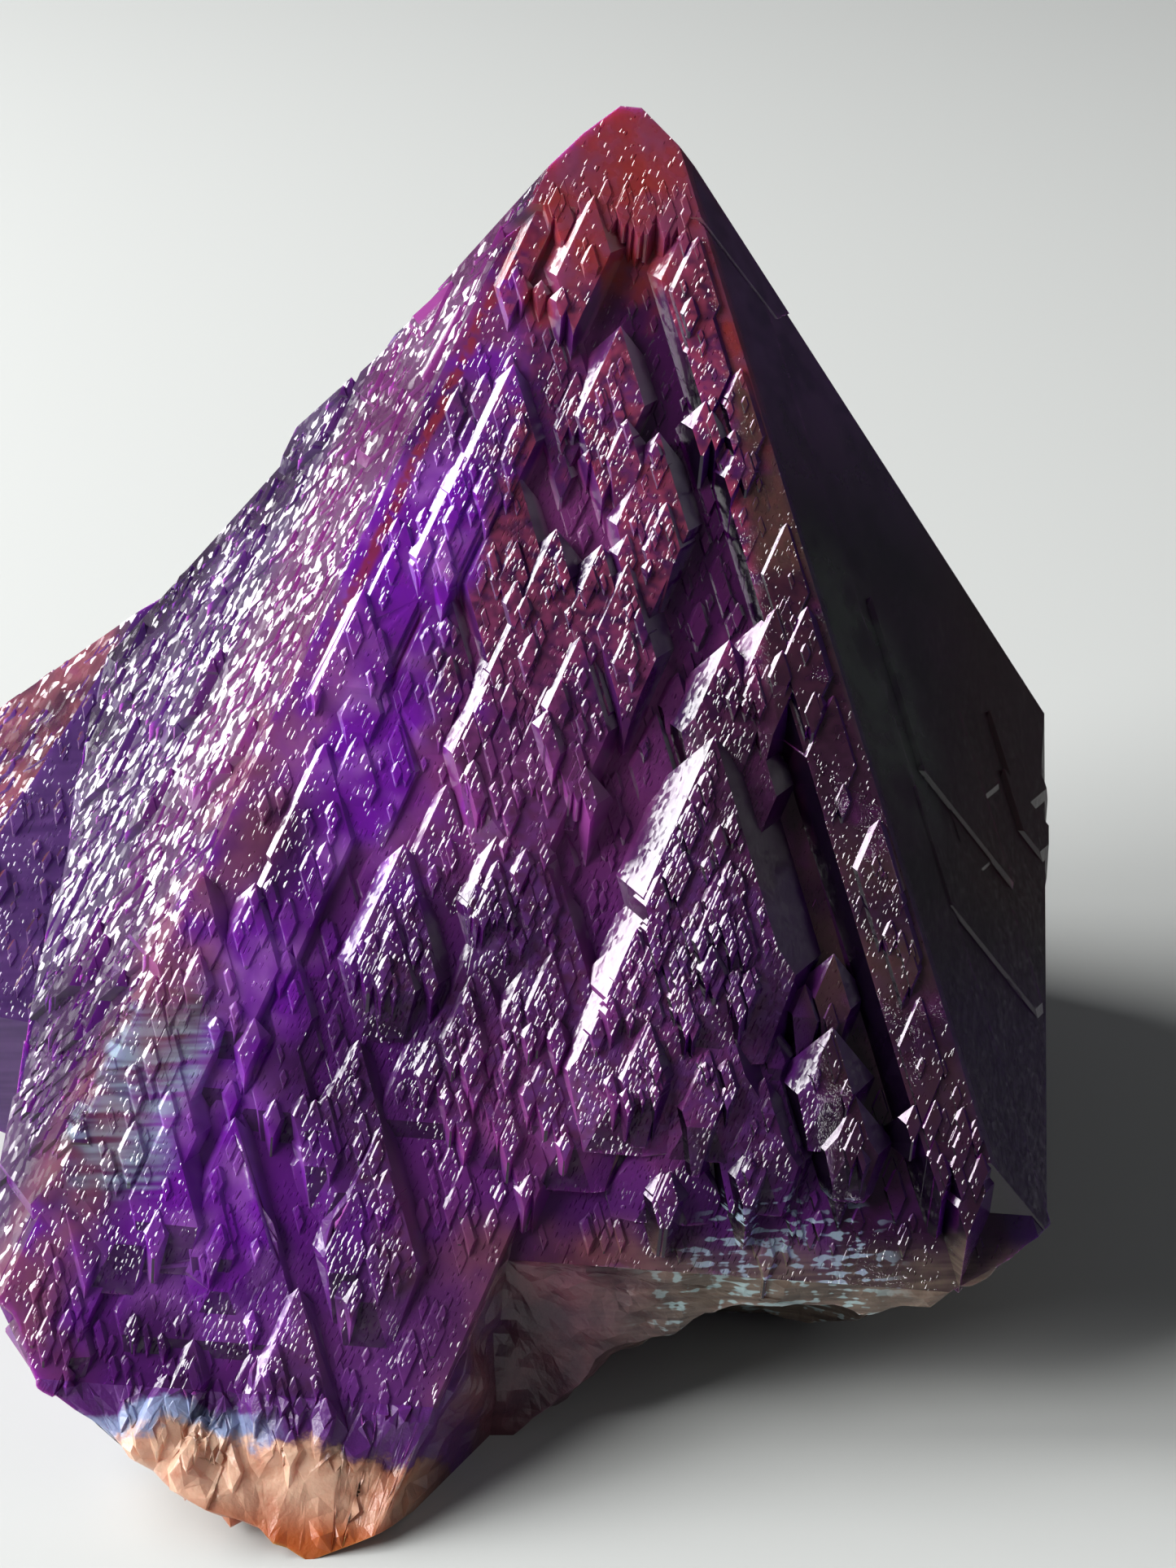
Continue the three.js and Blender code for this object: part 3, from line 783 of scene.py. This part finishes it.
# %% Foot band
root_line = calc(tree, "ADD", down, calc(tree, "MULTIPLY", ragged, 1.5))
band = times(step(tree, root_line, 60.5, 63.5), step(tree, across, -10.0, 0.0))
band_lines = lines_every(0.22)
grey = mottle(grained(band_lines, broad, 1.2), 0.8, 1.4, "#4a3e3a", "#746458")
pink_brown = mottle(broad, 0.35, 0.65, "#48262a", "#7c4a4c")
colour = cover(colour, band, 0.85, blend(tree, step(tree, across, 9.0, 2.0), grey, pink_brown))
# painted shade: the upright risers low on the front are darkened almost black
painted_shade_riser = times(step(tree, looks((0, -1, 0)), 0.9, 0.98), step(tree, down, 46.0, 54.0))
colour = cover(colour, painted_shade_riser, 0.95, "#16051e")
print("foot band:", len(tree.nodes), "nodes")

# %% Chalk, haze and peach
chalk = times(patch((12.5, 62.5), (5, 3)), step(tree, grained(band_lines, fine, 1.0), 1.08, 1.18))
haze_lines = lines_every(0.3)
haze = times(patch((-21, 56), (2.6, 6), -0.3), step(tree, haze_lines, 0.3, 0.7))
colour = cover(colour, most(chalk, haze), 0.7, "#a4b8cc")
peach = times(step(tree, root_line, 73.5, 76.5), step(tree, across, -4.0, -8.0))
colour = blend(tree, peach, colour, mottle(broad, 0.4, 0.6, "#b46a4c", "#dcb096"))
print("chalk, haze and peach:", len(tree.nodes), "nodes")

# %% [markdown]
# ## The stained edge
# Iron also clings to edges. The edge between the front and the left face carries a thin red line near
# the top that widens to a brown-pink smear below. Edge stains are often made with Pointiness, which marks
# every edge alike; here only this one is stained, so the distance from it is used.

# %% Stained left edge
shaken = calc(tree, "MULTIPLY", ragged, 0.5)
near_edge = calc(tree, "ABSOLUTE", calc(tree, "ADD", calc(tree, "ADD", across, arris), shaken))
broken_line = times(step(tree, near_edge, 0.5, 0.15), step(tree, fine, 0.3, 0.55))
upper_edge = times(broken_line, in_front, step(tree, down, 6.0, 9.0), step(tree, down, 36.0, 26.0))
lower_edge = times(step(tree, near_edge, 3.2, 1.2), in_front, step(tree, down, 28.0, 36.0))
lower_edge = times(lower_edge, step(tree, broad, 0.3, 0.6))
colour = cover(colour, upper_edge, 0.8, "#902c34")
colour = cover(colour, lower_edge, 0.45, "#8c5060")
print("stained edge:", len(tree.nodes), "nodes")

# %% [markdown]
# ## The companion and the back
# The smaller point beside the large one is lined lilac on its front and stained maroon on its upper left.
# The upright sides at the back, where no dust settled, show plain growth bands. The companion is told from
# the rest by where it is: left of the big point, not at the very front, and below its left face.

# %% Companion and growth bands
left_way = facing(SIDES["left"], FACE_ANGLE)
beyond = aim(tree, "DOT_PRODUCT", where["Object"], tuple(left_way), "Value")
companion = times(
    step(tree, spot["X"], -17.0 * MM, -20.0 * MM),
    step(tree, spot["Y"], -9.0 * MM, -5.0 * MM),
    step(tree, beyond, 30.8 * MM, 30.0 * MM),
)
lines = lines_every(0.5)
upright_sides = step(tree, calc(tree, "ABSOLUTE", looks(facing(0, 90))), 0.25, 0.1)
bands = times(upright_sides, step(tree, lines, 0.4, 0.6), without(in_front))
colour = cover(colour, bands, 0.4, "#1c0c28")
lined = mottle(grained(lines, broad, 0.8), 0.6, 1.2, "#54346e", "#6e4a88")
stained = mottle(broad, 0.35, 0.65, "#421c30", "#78404a")
colour = cover(colour, companion, 0.85, blend(tree, step(tree, facing_left, 0.8, 0.95), lined, stained))
tree.links.new(colour, shader.inputs["Base Color"])
print("all colours:", len(tree.nodes), "nodes")

# %% [markdown]
# ## Fine relief and the common flash
# Two more things shape the shine. The skin is a little uneven, which a weak bump gives; a strong one
# would smear the glints into blobs. And every small face that looks left flashes together, which on the
# stone comes from steps too small to model. So their normals are turned a little towards the way the
# front looks, and those of the big left face a little away from it, where only single cells then catch
# the lamp.

# %% Uneven skin
strength = calc(tree, "MULTIPLY_ADD", on_front, 0.1, 0.06)
strength = calc(tree, "MULTIPLY_ADD", past_right, 0.05, strength)
uneven = put(tree, "Bump", {"Height": grained(broad, fine, 0.3), "Strength": strength, "Distance": 0.5 * MM})
towards_front = times(step(tree, facing_left, 0.9, 0.97), calc(tree, "MULTIPLY_ADD", past_left, -0.4, 0.2))
front_way = facing(SIDES["front"], FACE_ANGLE)
turned = aim(tree, "ADD", uneven.outputs[0], stretch(tree, tuple(front_way), towards_front))
FLASH_TURN = 0.2  # how far the common flash is turned towards the way the front looks
flash = (left_way + front_way * FLASH_TURN).normalized()
print("flashing faces look along", [round(v, 2) for v in flash])

# %% Glitter over the whole stone
plain = most(rim, rust, step(tree, down, 14.0, 6.0))
sparkling = most(
    patch((8, 49), (9, 14)),
    patch((-6, 52), (8, 8)),
    patch((-3, 22), (4, 5)),
    patch((-14, 66), (9, 4)),
)
front_share = times(on_front, without(plain, 0.6), calc(tree, "MULTIPLY_ADD", sparkling, 0.36, 0.3))
glint_patches = times(left_side, step(tree, wander, 0.4, 0.6), without(companion, 0.7))
left_share = calc(tree, "MULTIPLY_ADD", glint_patches, 0.35, calc(tree, "MULTIPLY", left_side, 0.06))
grain = calc(tree, "MULTIPLY_ADD", rim, -0.06, calc(tree, "MULTIPLY_ADD", left_side, 0.1, 0.17))
tilt = calc(tree, "MULTIPLY_ADD", step(tree, facing_left, 0.9, 0.98), 0.11, 0.06)
tilt = calc(tree, "MULTIPLY_ADD", left_side, 0.12, tilt)
glitter = use_group(
    tree,
    facet_glitter,
    {
        "Position": where["Object"],
        "Normal": turned,
        "Grain": grain,
        "Stretch": 2.2,
        "Tilt": tilt,
        "Share": most(front_share, left_share),
        "Edge": calc(tree, "MULTIPLY_ADD", left_side, -0.96, 0.36),
        "Flash": tuple(flash),
        "Shade": tuple(facing(SIDES["right"], FACE_ANGLE)),
    },
)
tree.links.new(glitter["Normal"], shader.inputs["Normal"])
print("with glitter:", len(tree.nodes), "nodes")

# %% [markdown]
# ## Shine
# Quartz is glassy where it is clean. Dust makes it duller, the walls that look right and the right face
# are a little dull too, and the lit edge of a cell is the cleanest break of all. One value for all would
# make dust look wet.

# %% Roughness
right_walls = times(step(tree, facing_right, 0.8, 0.95), without(past_right))
dull = calc(tree, "MULTIPLY_ADD", right_walls, 0.15, calc(tree, "MULTIPLY", past_right, 0.08))
dull = calc(tree, "ADD", dull, calc(tree, "MULTIPLY_ADD", dust, 0.15, 0.18))
tree.links.new(times(dull, without(glitter["Lit Edge"], 0.5)), shader.inputs["Roughness"])
print("the finished amethyst has", len(tree.nodes), "nodes")

# %% [markdown]
# ## The broken root
# The real stone was broken off where it had grown. The break is chipped quartz, grey and pink-brown under
# the arch, violet and frosted where it meets the crystal, and peach to orange at its lowest tip. It could
# share the first material with more masks, but that one is long enough, so the root gets its own. The
# same groups and masks serve again, since they work on whatever tree is at hand.

# %% Root shader
root, tree, shader, where, place = start_quartz(
    "broken_root", clear=0.15, milky=0.3, colour_depths=(1.0, 0.5, 0.6), depth=3 * MM
)
shader.inputs["Roughness"].default_value = 0.4
broad = noise(tree, where["Object"], 180.0, 6.0, 0.65)
fine = noise(tree, where["Object"], 1500.0, 1.0)
lines = lines_every(0.25)
bump = put(tree, "Bump", {"Height": broad, "Strength": 0.6, "Distance": 0.6 * MM})
tree.links.new(bump.outputs[0], shader.inputs["Normal"])
print("root has", len(tree.nodes), "nodes")

# %% Grey band, violet and frost
RAGGED_BY = 8.0  # mm by which a noise from 0 to 1 shifts the borders

grey = mottle(grained(lines, broad, 1.2), 0.8, 1.4, "#40342e", "#706054")
pink_brown = mottle(broad, 0.35, 0.65, "#3c1c30", "#6a3c48")
colour = blend(tree, step(tree, place["Across"], 9.0, 1.0), grey, pink_brown)
ragged_down = calc(tree, "MULTIPLY_ADD", broad, RAGGED_BY, place["Down"])
ragged_across = calc(tree, "MULTIPLY_ADD", broad, RAGGED_BY, place["Across"])
violet = times(step(tree, ragged_down, 78.2, 77.4), step(tree, ragged_across, 2.0, -2.0))
colour = blend(tree, violet, colour, tint("#54186c"))
frost = times(step(tree, ragged_down, 76.2, 77.0), step(tree, ragged_across, -8.0, -11.0))
colour = cover(colour, frost, 0.85, "#8c9cc0")
print("grey, violet and frost:", len(tree.nodes), "nodes")

# %% Chalky dashes and the peach tip
on_band = times(step(tree, place["Across"], 4.0, 8.0), step(tree, place["Across"], 20.0, 16.0))
dashes = step(tree, grained(lines, fine, 1.0), 1.1, 1.2)
colour = cover(colour, times(on_band, dashes), 0.7, "#a4c0c4")
peach = times(step(tree, ragged_down, 77.6, 78.4), step(tree, ragged_across, 0.0, -3.0))
peach_colour = mottle(broad, 0.35, 0.6, "#b46a4c", "#dcb096")
orange = step(tree, calc(tree, "MULTIPLY_ADD", broad, RAGGED_BY / 2, place["Down"]), 78.5, 80.5)
peach_colour = blend(tree, orange, peach_colour, tint("#a8501c"))
colour = blend(tree, peach, colour, peach_colour)
tree.links.new(colour, shader.inputs["Base Color"])
print("the finished root has", len(tree.nodes), "nodes")

# %% [markdown]
# ## Mark the broken faces
# A crystal face can only look in a few directions, and a broken one looks anywhere. So the faces near the
# base need not be picked by hand: a face that looks in none of the crystal's ways is broken. A few broken
# faces happen to look in a crystal's way, and those are told by their place instead. One straight cut
# first marks the line where the peach tip begins.

# %% Cut along the peach line
PEACH_LINE = 71.5 * MM  # down the front from the tip
level, slope, out = face_axes(0)
pick(stone)
bpy.ops.object.mode_set(mode="EDIT")
bpy.ops.mesh.select_all(action="SELECT")
bpy.ops.mesh.bisect(plane_co=TIP + slope * PEACH_LINE, plane_no=slope)
bpy.ops.mesh.select_all(action="SELECT")
bpy.ops.mesh.quads_convert_to_tris()
bpy.ops.object.mode_set(mode="OBJECT")
print("after the cut:", len(stone.data.polygons), "triangles")

# %% Tell broken faces from crystal faces
TOP_OF_ROOT = 16 * MM  # all faces above this are crystal faces
TIP_SIDE = -4 * MM  # the peach tip lies further left than this
BAND_PLANE = -24.6 * MM  # the upright striated band of the root stands in this plane
BAND_END = -8 * MM  # and reaches this far left
LARGE = 1.5 * MM**2  # the faces of small crystals at the front of the root are smaller than this
SAME_WAY = 0.9995  # how alike two directions are that count as one
crystal_ways = [
    facing(turn, rise, lean)
    for lean in (LEAN, COMPANION_LEAN)
    for turn in range(0, 360, 60)
    for rise in (FACE_ANGLE, 0, -90)
]
crystal_ways += [facing(88, 0), facing(-93, 0), facing(115, 33.2), facing(-115, 32.2)]  # not quite regular


def is_broken(face):
    middle, way = face.center, face.normal
    if middle.z > TOP_OF_ROOT:
        return False
    if (middle - TIP).dot(slope) > PEACH_LINE and (middle - TIP).dot(level) < TIP_SIDE:
        return True
    if way.y < -0.999 and abs(middle.y - BAND_PLANE) < 0.1 * MM:  # it lies in the plane of the band
        return True
    if way.dot(out) >= 0.9:
        return False
    if face.area > LARGE and middle.y < BAND_PLANE and middle.x > BAND_END:
        return True
    return max(way.dot(known) for known in crystal_ways) < SAME_WAY


stone.data.materials.clear()
stone.data.materials.append(amethyst)
stone.data.materials.append(root)
for face in stone.data.polygons:
    face.material_index = int(is_broken(face))
print("broken faces:", sum(face.material_index for face in stone.data.polygons))

# %% [markdown]
# ## Relief on the broken root
# Broken quartz is chipped and lumpy. A bump would only shade the flat faces, and the outline would stay
# straight, so the root gets real relief. Long edges are halved until hardly any is longer than a good
# millimetre, and two displacements, a lumpy one and a chipped one, then move the corners in and out. The
# corners shared with the crystal faces stay where they are, and so does the base that the stone rests on.

# %% Cut the root finely
LONGEST = 1.1 * MM
MOST_ROUNDS = 7
bpy.context.tool_settings.mesh_select_mode = (False, True, False)


def root_edges():
    keys = set()
    for face in stone.data.polygons:
        if face.material_index == 1 and face.normal.z > -0.999:
            keys.update(face.edge_keys)
    return [edge for edge in stone.data.edges if edge.key in keys]


def span(edge):
    first, second = (stone.data.vertices[i].co for i in edge.vertices)
    return (first - second).length


for _ in range(MOST_ROUNDS):
    for parts in (stone.data.polygons, stone.data.vertices, stone.data.edges):
        parts.foreach_set("select", [False] * len(parts))
    long_edges = [edge for edge in root_edges() if span(edge) > LONGEST]
    for edge in long_edges:
        edge.select = True
    if not long_edges:
        break
    bpy.ops.object.mode_set(mode="EDIT")
    bpy.ops.mesh.subdivide(number_cuts=1)
    bpy.ops.mesh.select_all(action="SELECT")
    bpy.ops.mesh.quads_convert_to_tris()
    bpy.ops.object.mode_set(mode="OBJECT")
    print("cut", len(long_edges), "edges")

# %% Move the new corners
RESTING = 0.8 * MM  # corners lower than this belong to the base
crystal_corners = {i for face in stone.data.polygons if face.material_index == 0 for i in face.vertices}
root_corners = {i for face in stone.data.polygons if face.material_index == 1 for i in face.vertices}
free = [i for i in root_corners - crystal_corners if stone.data.vertices[i].co.z > RESTING]
group = stone.vertex_groups.new(name="broken")
group.add(free, 1.0, "REPLACE")
for kind, size, strength in (("CLOUDS", 4.5, 1.5), ("VORONOI", 2.2, 0.7)):  # both in mm
    pattern = bpy.data.textures.new("chips", kind)
    pattern.noise_scale = size * MM
    chips = stone.modifiers.new("chips", "DISPLACE")
    chips.texture = pattern
    chips.texture_coords = "LOCAL"
    chips.vertex_group = "broken"
    chips.strength = strength * MM
    bpy.ops.object.modifier_apply(modifier="chips")
stone.vertex_groups.clear()
print("moved corners:", len(free), "triangles:", len(stone.data.polygons))

# %% [markdown]
# ## The floor
# A plain pale floor, neither white nor shiny, takes the shadow without throwing light back into the stone.

# %% Pale floor
pale = bpy.data.materials.new("pale_floor")
pale.use_nodes = True
paper = pale.node_tree.nodes["Principled BSDF"]
paper.inputs["Base Color"].default_value = (0.42, 0.43, 0.42, 1)
paper.inputs["Roughness"].default_value = 0.9
floor.data.materials.append(pale)
print("floor material:", pale.name)

# %% [markdown]
# ## Light
# The flash on all the left faces needs one lamp in the one place that those faces mirror towards the
# viewer: high on the left and a little behind. Seen from the front face that lamp only grazes, which
# brings out every ledge. A broad fill on the same side opens the shadows, a faint one on the right keeps
# the dark face from going black, and a dim grey world does the rest. Soft area lamps are used, because a
# point lamp would turn every glint into the same small dot.


# %% Lamps
LIT_PLACE = Vector((0, -5, 25)) * MM  # a little in front of the middle of the stone


def soft_light(name, towards, distance, size, power):
    """A square area lamp; distance and size in metres, power in watts."""
    bpy.ops.object.light_add(type="AREA", location=LIT_PLACE + towards.normalized() * distance)
    lamp = bpy.context.object
    lamp.name = name
    lamp.rotation_euler = towards.to_track_quat("Z", "Y").to_euler()
    lamp.data.size = size
    lamp.data.energy = power
    print(name, "stands at", [round(v, 2) for v in lamp.location])


soft_light("key", Vector((-0.80, 0.22, 0.56)), distance=0.7, size=0.4, power=10)
soft_light("fill", Vector((-0.8, -0.35, 0.5)), distance=1.0, size=0.5, power=15)
soft_light("side", Vector((0.8, -0.4, 0.5)), distance=1.2, size=0.6, power=1)

# %% World and view
world = bpy.data.worlds.new("studio")
bpy.context.scene.world = world
world.use_nodes = True
background = world.node_tree.nodes["Background"]
background.inputs["Color"].default_value = (0.6, 0.62, 0.65, 1)
background.inputs["Strength"].default_value = 0.12
bpy.context.scene.view_settings.view_transform = "Standard"  # shows the violet just as it was mixed
print("view:", bpy.context.scene.view_settings.view_transform)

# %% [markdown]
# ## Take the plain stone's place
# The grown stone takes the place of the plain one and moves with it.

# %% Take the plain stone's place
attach(stone, "root")
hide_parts("elestial_amethyst")
